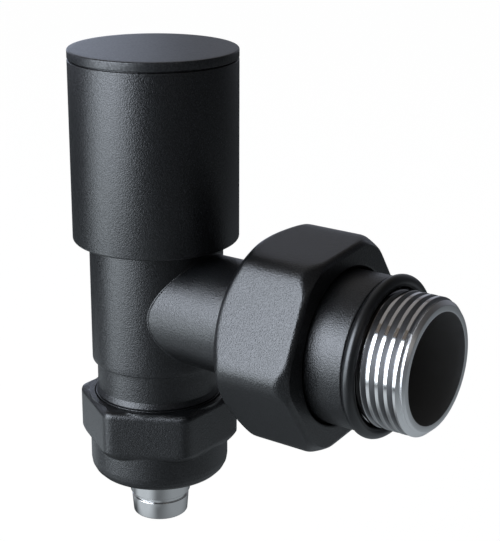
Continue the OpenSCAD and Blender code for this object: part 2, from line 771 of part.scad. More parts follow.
module tail_core() {
    core_r = tail_core_d / 2;
    seat_r = seal_seat_d / 2;
    root_r = root_d / 2;
    turned([[0, tail_flange_x], [tail_flange_d / 2, tail_flange_x], [tail_flange_d / 2, sleeve_x],
            [core_r, sleeve_x], [core_r, sleeve_end], [seat_r, sleeve_end], [seat_r, thread_x - 0.6],
            [root_r, thread_x - 0.2], [root_r, last_crest_x], [0, last_crest_x]]);
}

// One turn of thread with a flat crest
module thread_turn(x) {
    crest_r = thread_d / 2;
    root_r = root_d / 2;
    half = crest_w / 2;
    translate([0, 0, x])
        turned([[root_r - fine_edge, -flank_w - half], [root_r, -flank_w - half], [crest_r, -half],
                [crest_r, half], [root_r, flank_w + half], [root_r - fine_edge, flank_w + half]]);
}

// Last turn, chamfered down to the tail's end
module thread_end() {
    crest_r = thread_d / 2;
    root_r = root_d / 2;
    half = crest_w / 2;
    turned([[0, last_crest_x - flank_w - half], [root_r, last_crest_x - flank_w - half],
            [crest_r, last_crest_x - half], [crest_r, last_crest_x + half],
            [root_r + end_land, tail_end], [0, tail_end]]);
}

// Wide bore, key hexagon, water way and the groove for the union's O-ring
module tail_bore() {
    key_x = tail_end - tail_bore_depth - key_depth;
    translate([0, 0, tail_end - tail_bore_depth]) cylinder(d = tail_bore_d, h = tail_bore_depth + cut);
    translate([0, 0, key_x - cut]) hex_prism(key_af, key_depth + 2 * cut);
    translate([0, 0, tail_flange_x - cut]) cylinder(d = branch_bore_d, h = key_x - tail_flange_x + cut);
    ring(2 * tail_ring_r + tail_ring_d, 2 * tail_ring_r - tail_ring_d, tail_flange_x - cut,
         tail_ring_d + cut);
}

module tail_sleeve() {
    sleeve_r = sleeve_d / 2;
    inner_r = sleeve_r - sleeve_wall;
    color(coat) on_branch()
        turned([[inner_r, sleeve_x], [sleeve_r, sleeve_x], [sleeve_r, sleeve_end - fine_edge],
                [sleeve_r - fine_edge, sleeve_end], [inner_r, sleeve_end]]);
}

module face_o_ring() {
    color(rubber) on_branch() o_ring(seal_ring_r, seal_d, seal_x + seal_d / 2);
}

valve_body();
bonnet();
bonnet_o_ring();
gland_washer();
stem_o_rings();
gland_nut();
spindle();
disc_holder();
seat_washer();
washer_screw();
handwheel();
cover_disc();
handwheel_insert();
handwheel_screw();
pipe_insert();
insert_o_rings();
cone_o_ring();
insulating_washer();
clamp_ring();
compression_nut();
union_slip_washer();
union_nut();
union_o_ring();
tailpiece();
tail_sleeve();
face_o_ring();
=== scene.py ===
import json
import math

import bmesh
import bpy
from mathutils import Matrix, Vector

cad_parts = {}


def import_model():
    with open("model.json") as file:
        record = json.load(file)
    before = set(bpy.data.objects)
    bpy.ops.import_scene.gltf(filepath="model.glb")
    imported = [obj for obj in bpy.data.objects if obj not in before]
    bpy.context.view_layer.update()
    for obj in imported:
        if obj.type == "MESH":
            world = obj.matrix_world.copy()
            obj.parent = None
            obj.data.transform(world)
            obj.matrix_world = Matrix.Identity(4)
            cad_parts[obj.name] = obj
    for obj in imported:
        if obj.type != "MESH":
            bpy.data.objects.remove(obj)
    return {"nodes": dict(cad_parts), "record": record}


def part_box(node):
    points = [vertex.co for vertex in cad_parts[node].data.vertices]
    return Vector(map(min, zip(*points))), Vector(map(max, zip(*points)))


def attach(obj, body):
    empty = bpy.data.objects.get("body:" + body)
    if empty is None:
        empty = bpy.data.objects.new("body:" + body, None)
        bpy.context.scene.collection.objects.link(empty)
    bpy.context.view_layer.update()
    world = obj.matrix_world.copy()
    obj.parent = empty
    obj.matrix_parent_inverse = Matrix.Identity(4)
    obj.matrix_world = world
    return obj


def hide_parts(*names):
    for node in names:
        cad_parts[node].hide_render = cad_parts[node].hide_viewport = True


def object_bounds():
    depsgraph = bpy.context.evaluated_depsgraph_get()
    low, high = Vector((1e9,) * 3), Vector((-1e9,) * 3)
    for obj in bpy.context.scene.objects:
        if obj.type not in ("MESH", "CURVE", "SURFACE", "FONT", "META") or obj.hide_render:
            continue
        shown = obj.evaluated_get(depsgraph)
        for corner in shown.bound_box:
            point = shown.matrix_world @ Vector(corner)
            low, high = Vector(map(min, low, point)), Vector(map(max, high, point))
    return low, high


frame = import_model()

cad_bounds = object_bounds()

# Angle radiator valve with a handwheel, a compression nut and a union tail. The pieces that show
# are modelled over their CAD nodes, every node gets its finish, and a studio stands round them.

MM = 0.001  # outlines below are in millimetres, and Blender's frame is in metres
X, Z = 0, 2

# ---------------------------------------------------------------- sizes read from the frame

mounts = {m["name"]: m for m in frame["record"]["mounts"]}
branch_axis_z = mounts["radiator_thread"]["pos_m"][2]


def span(node, axis):
    """Lowest and highest place of a node along an axis, in millimetres."""
    low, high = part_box(node)
    return low[axis] / MM, high[axis] / MM


def radius_across(node, axis):
    """Half of a round node's width along an axis, in millimetres."""
    low, high = span(node, axis)
    return (high - low) / 2


wheel_low, wheel_high = span("handwheel", Z)
wheel_r = radius_across("handwheel", X)
cover_low, cover_high = span("cover_disc", Z)
body_low, body_high = span("valve_body", Z)
barrel_r = -span("valve_body", X)[0]
branch_end = span("valve_body", X)[1]
cnut_low, cnut_high = span("compression_nut", Z)
insert_low = span("pipe_insert", Z)[0]
insert_r = mounts["pipe_connection"]["dims"]["r_mm"]
unut_low, unut_high = span("union_nut", X)
sleeve_low, sleeve_high = span("tail_sleeve", X)
sleeve_r = radius_across("tail_sleeve", Z)
seal_low, seal_high = span("face_o_ring", X)
seal_r = radius_across("face_o_ring", Z)
tail_low, tail_high = span("tailpiece", X)
flange_r = radius_across("tailpiece", Z)
thread_r = mounts["radiator_thread"]["dims"]["r_mm"]


# ---------------------------------------------------------------- modelling with bmesh

def spin_round(bm, steps):
    """Spins what a bmesh holds once round Z and joins the last step to the first."""
    bmesh.ops.spin(bm, geom=bm.verts[:] + bm.edges[:], cent=(0, 0, 0), axis=(0, 0, 1),
                   angle=math.tau, steps=steps, use_merge=True)


def turned(bm, outline, steps, closed=False, ring_every=None):
    """Spins an outline of (radius, height[, rounding]) about Z. A closed outline makes a ring.

    With ring_every, no face is longer than that many millimetres along the outline.
    """
    corners = [bm.verts.new((point[0] * MM, 0, point[1] * MM)) for point in outline]
    ends = corners[1:] + (corners[:1] if closed else [])
    for pair in zip(corners, ends):
        bm.edges.new(pair)
    for corner, point in zip(corners, outline):
        if len(point) > 2:
            one, two = [e.other_vert(corner).co - corner.co for e in corner.link_edges]
            reach = point[2] * MM / math.tan(one.angle(two) / 2)
            bmesh.ops.bevel(bm, geom=[corner], offset=reach, offset_type="OFFSET", segments=5,
                            profile=0.5, affect="VERTICES", clamp_overlap=True, material=-1)
    if ring_every:
        for edge in bm.edges[:]:
            cuts = int(edge.calc_length() / (ring_every * MM))
            if cuts:
                bmesh.ops.subdivide_edges(bm, edges=[edge], cuts=cuts)
    spin_round(bm, steps)
    bmesh.ops.remove_doubles(bm, verts=bm.verts[:], dist=0.0005 * MM)
    bmesh.ops.recalc_face_normals(bm, faces=bm.faces[:])


def press_hexagon(bm, across_flats, corner_degrees, corner_sharpness, rounded_ends, core_r):
    """Presses a turned blank to a soft hexagon that has a corner at an angle.

    rounded_ends gives (height of the end, +1 or -1 for up or down, rounding). What lies inside
    core_r stays round.
    """
    face_sharpness = 90  # the higher, the crisper the pressed faces end on the turned blank
    for v in bm.verts:
        r = math.hypot(v.co.x, v.co.y) / MM
        angle = math.atan2(v.co.y, v.co.x) - math.radians(corner_degrees)
        sides = [max(0, math.cos(angle - math.radians(60 * k + 30))) for k in range(6)]
        blend = sum(s ** corner_sharpness for s in sides) ** (1 / corner_sharpness)
        hexagon = across_flats / 2 / blend
        for end, way, rounding in rounded_ends:
            past = min(max((v.co.z / MM - end) * way + rounding, 0), rounding)
            hexagon -= rounding - math.sqrt(rounding ** 2 - past ** 2)
        pressed = r / (1 + (r / hexagon) ** face_sharpness) ** (1 / face_sharpness)
        pressed = max(pressed, min(r, core_r))
        v.co.x *= pressed / r
        v.co.y *= pressed / r


def ring_section(bm, ring_r, height, section_r, around=32, steps=160):
    """Spins a round section into a plain ring about Z."""
    bmesh.ops.create_circle(bm, cap_ends=False, segments=around, radius=section_r * MM)
    upright = Matrix.Rotation(math.radians(90), 3, "X")
    bmesh.ops.rotate(bm, verts=bm.verts[:], cent=(0, 0, 0), matrix=upright)
    bmesh.ops.translate(bm, verts=bm.verts[:], vec=(ring_r * MM, 0, height * MM))
    spin_round(bm, steps)
    bmesh.ops.recalc_face_normals(bm, faces=bm.faces[:])


def on_branch(bm):
    """Turns what was made along Z onto the branch, so that its height runs along X."""
    move = Matrix.Translation((0, 0, branch_axis_z)) @ Matrix.Rotation(math.radians(90), 4, "Y")
    bmesh.ops.transform(bm, matrix=move, verts=bm.verts[:])


def scratch_object(bm, name):
    """A mesh object that's only used to cut or join another."""
    mesh = bpy.data.meshes.new(name)
    bm.to_mesh(mesh)
    bm.free()
    made = bpy.data.objects.new(name, mesh)
    bpy.context.scene.collection.objects.link(made)
    return made


def combined(first, others):
    """A bmesh of one object joined with, cut by or kept inside others, given as (how, object)."""
    for how, other in others:
        step = first.modifiers.new(how, "BOOLEAN")
        step.operation = how
        step.solver = "EXACT"
        step.object = other
    bpy.context.view_layer.update()
    shape = first.evaluated_get(bpy.context.evaluated_depsgraph_get())
    bm = bmesh.new()
    bm.from_mesh(shape.to_mesh())
    shape.to_mesh_clear()
    for made in [first] + [other for _, other in others]:
        bpy.data.objects.remove(made)
    bmesh.ops.remove_doubles(bm, verts=bm.verts[:], dist=0.001 * MM)
    bmesh.ops.recalc_face_normals(bm, faces=bm.faces[:])
    return bm


def piece(name, bm, materials, body, node, sharp_degrees=32):
    """Turns a bmesh into a piece that rides on a body and stands for a CAD node."""
    mesh = bpy.data.meshes.new(name)
    bm.to_mesh(mesh)
    bm.free()
    mesh.shade_smooth()
    mesh.set_sharp_from_angle(angle=math.radians(sharp_degrees))
    for material in materials:
        mesh.materials.append(material)
    made = bpy.data.objects.new(name, mesh)
    bpy.context.scene.collection.objects.link(made)
    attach(made, body)
    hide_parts(node)


# ---------------------------------------------------------------- materials

def linear(code):
    """An sRGB hex colour as the linear RGBA that Blender's sockets take."""
    parts = [int(code[i:i + 2], 16) / 255 for i in (1, 3, 5)]
    return tuple(c / 12.92 if c <= 0.04045 else ((c + 0.055) / 1.055) ** 2.4 for c in parts) + (1,)


def add_node(tree, kind, settings, inputs):
    """Adds a node, sets its properties, and sets or links its inputs by name or number."""
    made = tree.nodes.new(kind)
    for name, value in settings.items():
        setattr(made, name, value)
    for key, value in inputs.items():
        if isinstance(value, bpy.types.NodeSocket):
            tree.links.new(value, made.inputs[key])
        else:
            made.inputs[key].default_value = value
    return made


def new_material(name):
    """An empty node material, with the Object coordinates that its patterns read."""
    material = bpy.data.materials.new(name)
    material.use_nodes = True
    tree = material.node_tree
    tree.nodes.clear()
    place = add_node(tree, "ShaderNodeTexCoord", {}, {}).outputs["Object"]
    return material, tree, place


def finish_material(tree, shader):
    """Links a shader to the material's surface."""
    add_node(tree, "ShaderNodeOutputMaterial", {}, {"Surface": shader.outputs[0]})


def per_metre(size_mm):
    """The noise scale at which one feature is about this many millimetres."""
    return 1 / (size_mm * MM)


def powder_coat():
    """Epoxy-polyester powder coat, sprayed and baked: satin jet black with a fine sandy grain.

    The hollows between the grains lose part of the gloss, which makes the lit sides sparkle.
    The grain is drawn 0.2 mm wide, because the finest grains would not show.
    """
    material, tree, place = new_material("satin_black_powder_coat")
    grain = add_node(tree, "ShaderNodeTexNoise", {}, {
        "Vector": place, "Scale": per_metre(0.2), "Detail": 1.0, "Roughness": 0.5})
    tone = add_node(tree, "ShaderNodeValToRGB", {}, {"Fac": grain.outputs["Fac"]})
    tone.color_ramp.elements[0].position = 0.35
    tone.color_ramp.elements[0].color = linear("#08090a")
    tone.color_ramp.elements[1].position = 0.7
    tone.color_ramp.elements[1].color = linear("#101113")
    sheen = add_node(tree, "ShaderNodeMapRange", {}, {
        "Value": grain.outputs["Fac"], "To Min": 0.28, "To Max": 0.38})
    hollows = add_node(tree, "ShaderNodeMapRange", {}, {
        "Value": grain.outputs["Fac"], "From Min": 0.35, "From Max": 0.65,
        "To Min": 0.43, "To Max": 0.60})
    bump = add_node(tree, "ShaderNodeBump", {}, {
        "Strength": 1.0, "Distance": 0.05 * MM, "Height": grain.outputs["Fac"]})
    finish_material(tree, add_node(tree, "ShaderNodeBsdfPrincipled", {}, {
        "Base Color": tone.outputs["Color"], "Roughness": sheen.outputs["Result"],
        "IOR": 1.5, "Specular IOR Level": hollows.outputs["Result"],
        "Normal": bump.outputs["Normal"]}))
    return material


def cover_paint():
    """Satin paint on the turned cover disc: smoother than the coat, so its top looks even."""
    material, tree, place = new_material("satin_black_cover_paint")
    grain = add_node(tree, "ShaderNodeTexNoise", {}, {
        "Vector": place, "Scale": per_metre(0.3), "Detail": 2.0})
    hollows = add_node(tree, "ShaderNodeMapRange", {}, {
        "Value": grain.outputs["Fac"], "From Min": 0.35, "From Max": 0.65,
        "To Min": 0.35, "To Max": 0.65})
    bump = add_node(tree, "ShaderNodeBump", {}, {
        "Strength": 0.6, "Distance": 0.02 * MM, "Height": grain.outputs["Fac"]})
    finish_material(tree, add_node(tree, "ShaderNodeBsdfPrincipled", {}, {
        "Base Color": linear("#121315"), "Roughness": 0.38, "IOR": 1.5,
        "Specular IOR Level": hollows.outputs["Result"], "Normal": bump.outputs["Normal"]}))
    return material


def nickel_chrome():
    """Bright nickel-chrome plate over turned brass: sharp reflections with a slight haze."""
    material, tree, place = new_material("bright_nickel_chrome_plate")
    haze = add_node(tree, "ShaderNodeTexNoise", {}, {
        "Vector": place, "Scale": per_metre(1.2), "Detail": 3.0})
    rough = add_node(tree, "ShaderNodeMapRange", {}, {
        "Value": haze.outputs["Fac"], "To Min": 0.05, "To Max": 0.11})
    bump = add_node(tree, "ShaderNodeBump", {}, {
        "Strength": 0.10, "Distance": 0.02 * MM, "Height": haze.outputs["Fac"]})
    finish_material(tree, add_node(tree, "ShaderNodeBsdfPrincipled", {}, {
        "Base Color": linear("#c6c5c4"), "Metallic": 1.0, "Roughness": rough.outputs["Result"],
        "Normal": bump.outputs["Normal"]}))
    return material


def satin_plate(name, tone):
    """The same plate left dull, on the tail's end and in the thread's grooves: no sharp image. The
    tone is given for each use, and the grooves' darker tone is painted shade.

    The scratches of the tool are too fine to show, so they are drawn as a mottle 0.3 mm wide.
    """
    material, tree, place = new_material(name)
    scratches = add_node(tree, "ShaderNodeTexNoise", {}, {
        "Vector": place, "Scale": per_metre(0.3), "Detail": 3.0})
    rough = add_node(tree, "ShaderNodeMapRange", {}, {
        "Value": scratches.outputs["Fac"], "To Min": 0.28, "To Max": 0.42})
    bump = add_node(tree, "ShaderNodeBump", {}, {
        "Strength": 0.4, "Distance": 0.02 * MM, "Height": scratches.outputs["Fac"]})
    finish_material(tree, add_node(tree, "ShaderNodeBsdfPrincipled", {}, {
        "Base Color": linear(tone), "Metallic": 1.0, "Roughness": rough.outputs["Result"],
        "Normal": bump.outputs["Normal"]}))
    return material


def dull_dark_grey_bore():
    """Dull dark grey inside of the tail's bore, darker than the plate outside: it shows no
    highlight, and its depth makes it look black.
    """
    material, tree, place = new_material("dull_dark_grey_bore_finish")
    grain = add_node(tree, "ShaderNodeTexNoise", {}, {
        "Vector": place, "Scale": per_metre(0.5), "Detail": 2.0})
    rough = add_node(tree, "ShaderNodeMapRange", {}, {
        "Value": grain.outputs["Fac"], "To Min": 0.6, "To Max": 0.75})
    finish_material(tree, add_node(tree, "ShaderNodeBsdfPrincipled", {}, {
        "Base Color": linear("#505050"), "Roughness": rough.outputs["Result"], "IOR": 1.5}))
    return material


def epdm_rubber():
    """Moulded EPDM O-ring: black, with a soft even sheen."""
    material, tree, place = new_material("black_epdm_rubber")
    bloom = add_node(tree, "ShaderNodeTexNoise", {}, {
        "Vector": place, "Scale": per_metre(2.0), "Detail": 4.0})
    rough = add_node(tree, "ShaderNodeMapRange", {}, {
        "Value": bloom.outputs["Fac"], "To Min": 0.26, "To Max": 0.36})
    finish_material(tree, add_node(tree, "ShaderNodeBsdfPrincipled", {}, {
        "Base Color": linear("#101112"), "Roughness": rough.outputs["Result"], "IOR": 1.52}))
    return material


def turned_brass():
    """Machined brass of the headwork: warm yellow with lathe lines.

    The lines are drawn 0.6 mm apart, which is 0.31 of the size that sets the scale of a wave,
    because the feed of a lathe would be too fine to show.
    """
    material, tree, place = new_material("turned_brass")
    lines = add_node(tree, "ShaderNodeTexWave", {"bands_direction": "Z"}, {
        "Vector": place, "Scale": per_metre(2.0), "Distortion": 1.5, "Detail": 2.0})
    tone = add_node(tree, "ShaderNodeValToRGB", {}, {"Fac": lines.outputs["Fac"]})
    tone.color_ramp.elements[0].color = linear("#b8954c")
    tone.color_ramp.elements[1].color = linear("#cfae62")
    bump = add_node(tree, "ShaderNodeBump", {}, {
        "Strength": 0.2, "Distance": 0.02 * MM, "Height": lines.outputs["Fac"]})
    finish_material(tree, add_node(tree, "ShaderNodeBsdfPrincipled", {}, {
        "Base Color": tone.outputs["Color"], "Metallic": 1.0, "Roughness": 0.28,
        "Normal": bump.outputs["Normal"]}))
    return material


def zinc_steel():
    """Zinc-plated screw steel: cool grey with slightly cloudy passivation."""
    material, tree, place = new_material("zinc_plated_steel")
    cloud = add_node(tree, "ShaderNodeTexNoise", {}, {
        "Vector": place, "Scale": per_metre(1.5), "Detail": 4.0})
    tone = add_node(tree, "ShaderNodeValToRGB", {}, {"Fac": cloud.outputs["Fac"]})
    tone.color_ramp.elements[0].color = linear("#9da2a6")
    tone.color_ramp.elements[1].color = linear("#c0c3c4")
    finish_material(tree, add_node(tree, "ShaderNodeBsdfPrincipled", {}, {
        "Base Color": tone.outputs["Color"], "Metallic": 1.0, "Roughness": 0.36}))
    return material


def white_nylon():
    """Moulded natural nylon and PTFE: milky white, waxy and slightly uneven."""
    material, tree, place = new_material("natural_white_nylon")
    flow = add_node(tree, "ShaderNodeTexNoise", {}, {
        "Vector": place, "Scale": per_metre(3.0), "Detail": 3.0})
    tone = add_node(tree, "ShaderNodeValToRGB", {}, {"Fac": flow.outputs["Fac"]})
    tone.color_ramp.elements[0].color = linear("#d9d7cd")
    tone.color_ramp.elements[1].color = linear("#e8e6de")
    finish_material(tree, add_node(tree, "ShaderNodeBsdfPrincipled", {}, {
        "Base Color": tone.outputs["Color"], "Roughness": 0.42, "IOR": 1.53}))
    return material


coat = powder_coat()
paint = cover_paint()
chrome = nickel_chrome()
satin = satin_plate("satin_nickel_plate", "#e2e2e2")
# darker, duller plate for the thread's grooves: the darker tone is painted shade
groove_plate_painted_shade = satin_plate("dull_thread_groove_painted_shade", "#8c8c8d")
bore_dark_grey = dull_dark_grey_bore()
rubber = epdm_rubber()
by_slot = {
    "black_powder_coat": coat,
    "black_wheel_coat": coat,
    "black_cover_coat": paint,
    "chrome_plate": chrome,
    "brass": turned_brass(),
    "zinc_steel": zinc_steel(),
    "rubber": rubber,
    "white_plastic": white_nylon(),
}

for part in frame["record"]["subparts"]:
    cad = frame["nodes"][part["node"]]
    cad.data.materials.clear()
    cad.data.materials.append(by_slot[part["material_slot"]])


# ---------------------------------------------------------------- pieces

def handwheel():
    """Tall cap with a thin wall, open below, and a round opening in its top for the cover."""
    wall = 1.2
    ledge = 4.5
    top_plate = 2.75
    opening_r = wheel_r - ledge
    bm = bmesh.new()
    turned(bm, [(wheel_r - wall, wheel_low, 0.2), (wheel_r, wheel_low, 0.35),
                (wheel_r, wheel_high, 0.12), (opening_r, wheel_high, 0.2),
                (opening_r, wheel_high - top_plate, 0.1),
                (wheel_r - wall, wheel_high - top_plate, 0.4)], steps=192, closed=True)
    piece("handwheel_shell", bm, [coat], "wheel", "handwheel")


def cover_disc():
    """Disc with a crisp rim, over a skirt that snaps into the handwheel's top."""
    disc_low = cover_high - 1.4
    groove_r = wheel_r - 0.5
    skirt_r = wheel_r - 4.54
    inside_r = skirt_r - 1.4
    bm = bmesh.new()
    turned(bm, [(0, disc_low), (inside_r, disc_low, 0.2), (inside_r, cover_low, 0.15),
                (skirt_r, cover_low, 0.3), (skirt_r, wheel_high), (groove_r, wheel_high),
                (groove_r, disc_low, 0.05), (wheel_r, disc_low, 0.1), (wheel_r, cover_high, 0.25),
                (0, cover_high)], steps=192, ring_every=1.0)
    piece("handwheel_cover", bm, [paint], "wheel", "cover_disc")


def barrel_and_neck():
    """Barrel on a slimmer neck, with a fine line turned between the neck's lip and its flare."""
    spigot_r = 9.85
    neck_r, neck_low, neck_top = barrel_r - 0.8, cnut_high - 0.3, cnut_high + 6
    lip_r, lip_top = neck_r + 0.42, neck_low + 0.42
    line_r, line_low, line_top = neck_r + 0.1, neck_low + 0.5, neck_low + 0.64
    flare_r, flare_low, flare_top = neck_r + 0.34, neck_low + 0.68, neck_low + 1.6
    bm = bmesh.new()
    turned(bm, [(0, body_low), (spigot_r, body_low, 0.35), (spigot_r, neck_low, 0.1),
                (lip_r, neck_low), (lip_r, lip_top, 0.08), (line_r, line_low), (line_r, line_top),
                (flare_r, flare_low, 0.05), (neck_r, flare_top, 0.6),
                (neck_r, neck_top, 0.2), (barrel_r, neck_top, 0.3),
                (barrel_r, body_high, 0.35), (0, body_high)], steps=192, ring_every=0.9)
    return scratch_object(bm, "barrel")


def side_branch(branch_r):
    """Branch that swells into the threaded end for the union nut, behind a relief."""
    start = 0.5  # inside the barrel
    swell_r, swell_low, swell_top = branch_r + 1.6, unut_low - 0.4, unut_low + 0.6
    threaded_r, threaded_low = 13.05, unut_low + 2.4
    relief_r, relief_low, relief_top = threaded_r - 0.5, unut_low + 1.2, unut_low + 2.2
    bm = bmesh.new()
    turned(bm, [(0, start), (branch_r, start), (branch_r, swell_low, 1.5),
                (swell_r, swell_top, 0.8), (relief_r, relief_low, 0.2), (relief_r, relief_top),
                (threaded_r, threaded_low), (threaded_r, branch_end, 0.3), (0, branch_end)],
           steps=192, ring_every=0.9)
    on_branch(bm)
    return scratch_object(bm, "branch")


def waterways():
    """Cutters for the branch's bore, and for the inlet's cone, seat, chamber and bonnet hole."""
    branch_bore_r = 7.0
    cone_mouth_r, cone_end_r, cone_top = 8.34, 6.5, body_low + 4.6
    seat_r, seat_lip_r, seat_lip = 5.5, 6.4, 0.8
    chamber_r = 8.6
    chamber_low = branch_axis_z / MM - 8.3
    chamber_top = branch_axis_z / MM + 8.7
    bonnet_r = 9.24
    past_end = 1  # how far a cutter runs past the metal
    bm = bmesh.new()
    turned(bm, [(0, -past_end), (branch_bore_r, -past_end),
                (branch_bore_r, branch_end + past_end), (0, branch_end + past_end)], steps=96)
    on_branch(bm)
    branch_bore = scratch_object(bm, "branch_bore")
    bm = bmesh.new()
    turned(bm, [(0, body_low - past_end), (cone_mouth_r, body_low - past_end),
                (cone_mouth_r, body_low), (cone_end_r, cone_top), (seat_r, cone_top),
                (seat_r, chamber_low + seat_lip), (seat_lip_r, chamber_low + seat_lip),
                (seat_lip_r, chamber_low), (chamber_r, chamber_low), (chamber_r, chamber_top),
                (bonnet_r, chamber_top), (bonnet_r, body_high + past_end),
                (0, body_high + past_end)], steps=96)
    return branch_bore, scratch_object(bm, "inlet")


def junction_seam(branch_r):
    """Thin bead where the branch leaves the barrel, bent to follow the barrel's round wall."""
    bead_r = 0.12
    bm = bmesh.new()
    ring_section(bm, branch_r, 0, bead_r, around=16, steps=192)
    on_branch(bm)
    for v in bm.verts:
        v.co.x += math.sqrt((barrel_r * MM) ** 2 - v.co.y ** 2)
    return scratch_object(bm, "junction_seam")


def valve_body():
    """Forged body: barrel and neck turned in one, with the side branch let into the barrel."""
    branch_r = 9.3
    barrel = barrel_and_neck()
    branch = side_branch(branch_r)
    branch_bore, inlet = waterways()
    bm = combined(barrel, [("UNION", branch), ("DIFFERENCE", branch_bore), ("DIFFERENCE", inlet)])
    seam = junction_seam(branch_r)
    bm.from_mesh(seam.data)
    bpy.data.objects.remove(seam)
    piece("forged_valve_body", bm, [coat], "valve", "valve_body")


def compression_nut():
    """Hexagon with soft edges on a round collar whose lower edge is well rounded."""
    across_flats = 23.5
    flat_r = across_flats / 2
    collar_r, collar_top = flat_r - 0.2, cnut_low + 5.3
    blank_r, blank_low = flat_r + 1.6, collar_top + 1.9
    hexagon_low = collar_top + 0.3
    mouth_r, mouth_top = 7.25, cnut_low + 2.1
    clamp_r, clamp_low, clamp_top = 9.25, cnut_low + 4.1, cnut_low + 6.05
    thread_bore_r, thread_bore_low = 9.9, cnut_low + 6.4
    recess_r, recess_low = 10.62, cnut_high - 0.8
    bm = bmesh.new()
    turned(bm, [(mouth_r, cnut_low, 0.4), (collar_r, cnut_low, 2.6),
                (collar_r, collar_top + 0.1, 0.15), (blank_r, blank_low, 0.3),
                (blank_r, cnut_high), (recess_r, cnut_high, 0.15), (recess_r, recess_low),
                (thread_bore_r, recess_low), (thread_bore_r, thread_bore_low),
                (clamp_r, clamp_top), (clamp_r, clamp_low), (mouth_r, mouth_top, 0.1)],
           steps=240, closed=True, ring_every=0.16)
    press_hexagon(bm, across_flats, corner_degrees=28.7, corner_sharpness=40,
                  rounded_ends=[(cnut_high, 1, 1.1), (hexagon_low, -1, 1.75)], core_r=collar_r)
    piece("compression_nut_shell", bm, [coat], "pipe_nut", "compression_nut")


def union_nut():
    """Large hexagon with soft corners and rounded ends, bored for the branch and the sleeve."""
    across_flats = 30.5
    corner_from_top = 25  # degrees; a corner made at 180 ends on top of the branch
    flat_r = across_flats / 2
    blank_r, blank_low, blank_high = flat_r + 2.2, unut_low + 2.9, unut_high - 2.4
    near_r, far_r = flat_r - 0.9, flat_r + 0.5
    thread_bore_r = 13.1
    lip_bore_r, lip_low = 12.25, unut_high - 3.3
    bm = bmesh.new()
    turned(bm, [(thread_bore_r, unut_low, 0.3), (near_r, unut_low, 0.9),
                (blank_r, blank_low, 1.2), (blank_r, blank_high, 1.2),
                (far_r, unut_high), (lip_bore_r, unut_high, 0.35),
                (lip_bore_r, lip_low), (thread_bore_r, lip_low)],
           steps=240, closed=True, ring_every=0.22)
    press_hexagon(bm, across_flats, corner_degrees=180 - corner_from_top, corner_sharpness=20,
                  rounded_ends=[(unut_high, 1, 0.9)], core_r=lip_bore_r)
    on_branch(bm)
    piece("union_nut_shell", bm, [coat], "radiator_nut", "union_nut")


def tail_sleeve():
    """Round collar between the union nut and the seal ring."""
    wall = 0.9
    bm = bmesh.new()
    turned(bm, [(sleeve_r - wall, sleeve_low), (sleeve_r, sleeve_low),
                (sleeve_r, sleeve_high, 0.3), (sleeve_r - wall, sleeve_high, 0.15)],
           steps=192, closed=True)
    on_branch(bm)
    piece("tail_collar", bm, [coat], "tail", "tail_sleeve")


def face_o_ring():
    """O-ring that seals on the radiator's face."""
    thick = seal_high - seal_low
    bm = bmesh.new()
    ring_section(bm, seal_r - thick / 2, (seal_low + seal_high) / 2, thick / 2)
    on_branch(bm)
    piece("radiator_seal_ring", bm, [rubber], "tail", "face_o_ring")


def helical_rod(crest_r, root_r, pitch, low, high):
    """Solid rod with a thread along Z: flat crests, sloping flanks and narrow roots."""
    root_end, crest_start, crest_end = 0.08, 0.34, 0.74  # shares of the pitch
    steps = 160
    turns = math.ceil((high - low) / pitch) + 2
    bm = bmesh.new()
    corners = []
    for k in range(turns):
        start = low + (k - 1) * pitch
        for share, r in ((0, root_r), (root_end, root_r),
                         (crest_start, crest_r), (crest_end, crest_r)):
            corners.append(bm.verts.new((r * MM, 0, (start + share * pitch) * MM)))
    corners.append(bm.verts.new((root_r * MM, 0, (low + (turns - 1) * pitch) * MM)))
    for pair in zip(corners, corners[1:]):
        bm.edges.new(pair)
    bmesh.ops.bevel(bm, geom=corners[1:-1], offset=0.05 * MM, offset_type="OFFSET", segments=2,
                    profile=0.5, affect="VERTICES", clamp_overlap=True, material=-1)
    bmesh.ops.spin(bm, geom=bm.verts[:] + bm.edges[:], cent=(0, 0, 0), axis=(0, 0, 1),
                   angle=math.tau, dvec=(0, 0, pitch * MM / steps), steps=steps)
    bmesh.ops.remove_doubles(bm, verts=bm.verts[:], dist=0.002 * MM)
    for height, side in ((low, -1), (high, 1)):
        cut = bmesh.ops.bisect_plane(bm, geom=bm.verts[:] + bm.edges[:] + bm.faces[:], dist=1e-7,
                                     plane_co=(0, 0, height * MM), plane_no=(0, 0, side),
                                     clear_outer=True)
        rim = [e for e in cut["geom_cut"] if isinstance(e, bmesh.types.BMEdge)]
        bmesh.ops.triangle_fill(bm, use_beauty=True, edges=rim)
    bmesh.ops.recalc_face_normals(bm, faces=bm.faces[:])
    return bm


PLATED, BORED, GROUND, GROOVED = range(4)  # the tail's finishes, in the order of its materials


def darken_inside(bm, bore_r):
    """Gives the bore's finish to the faces that lie on a bore along Z, or within it."""
    bore_limit = (bore_r + 0.05) * MM
    for face in bm.faces:
        widest = max(math.hypot(v.co.x, v.co.y) for v in face.verts)
        face.material_index = BORED if widest < bore_limit else PLATED


